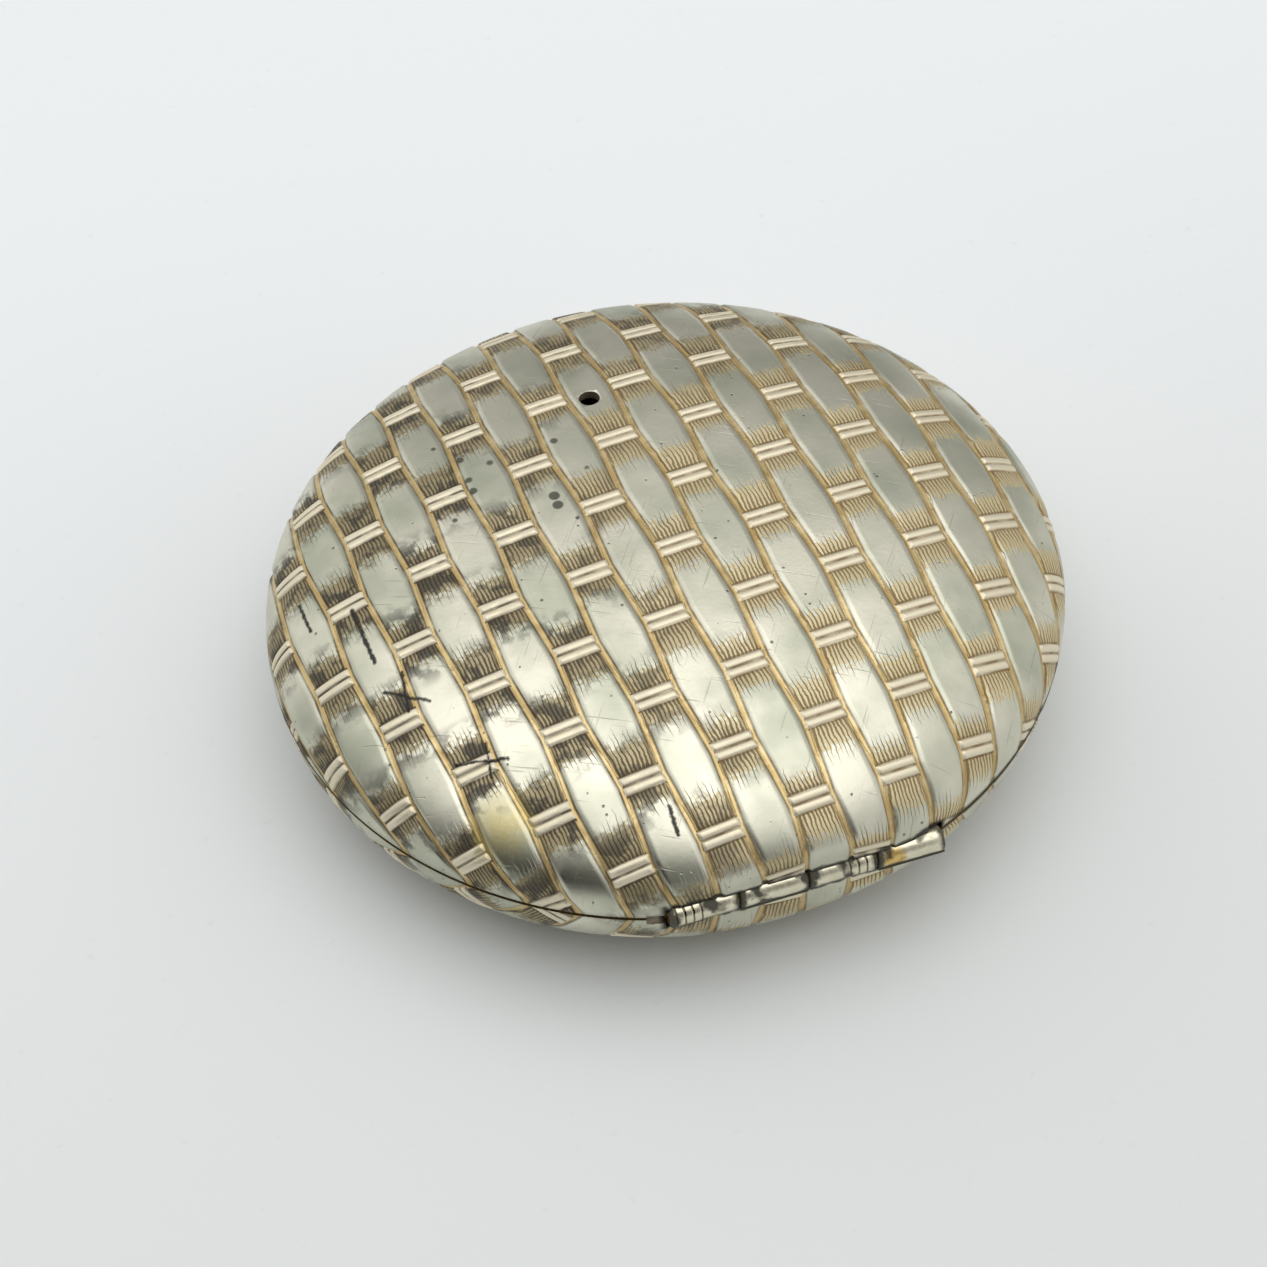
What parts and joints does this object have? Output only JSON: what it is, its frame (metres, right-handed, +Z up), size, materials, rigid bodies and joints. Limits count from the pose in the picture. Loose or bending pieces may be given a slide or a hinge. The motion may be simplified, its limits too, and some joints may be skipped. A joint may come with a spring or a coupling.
{
  "type": "hinged pocket box",
  "caption": "Low oval pebble-shaped pocket box with a domed lid on a knuckle hinge, engraved all over with a basket weave.",
  "frame": {"origin": "middle of the flat that the box rests on", "axes": "+X along the hinge, +Y from the hinge to the opening edge, +Z up out of the lid"},
  "size_m": [0.06, 0.0562, 0.0174],
  "materials": {
    "silver_plate": "worn silver plate on brass, hand engraved, gilt and dark patina in the cuts",
    "gilt_brass": "satin gilding",
    "brass_wire": "drawn wire"
  },
  "bodies": {
    "base": {"base_shell": "silver_plate", "base_collar": "gilt_brass", "base_joint_bearer": "gilt_brass", "base_knuckle_left": "silver_plate", "base_knuckle_right": "silver_plate", "hinge_pin": "brass_wire", "catch_nib": "gilt_brass"},
    "lid": {"lid_shell": "silver_plate", "lid_joint_bearer": "gilt_brass", "lid_knuckle_left": "silver_plate", "lid_knuckle_right": "silver_plate"}
  },
  "joints": [
    {"name": "lid_hinge", "type": "hinge", "parent": "base", "child": "lid", "pos_m": [0, -0.0268, 0.0093], "axis": [1, 0, 0], "range_deg": [0, 90]}
  ]
}
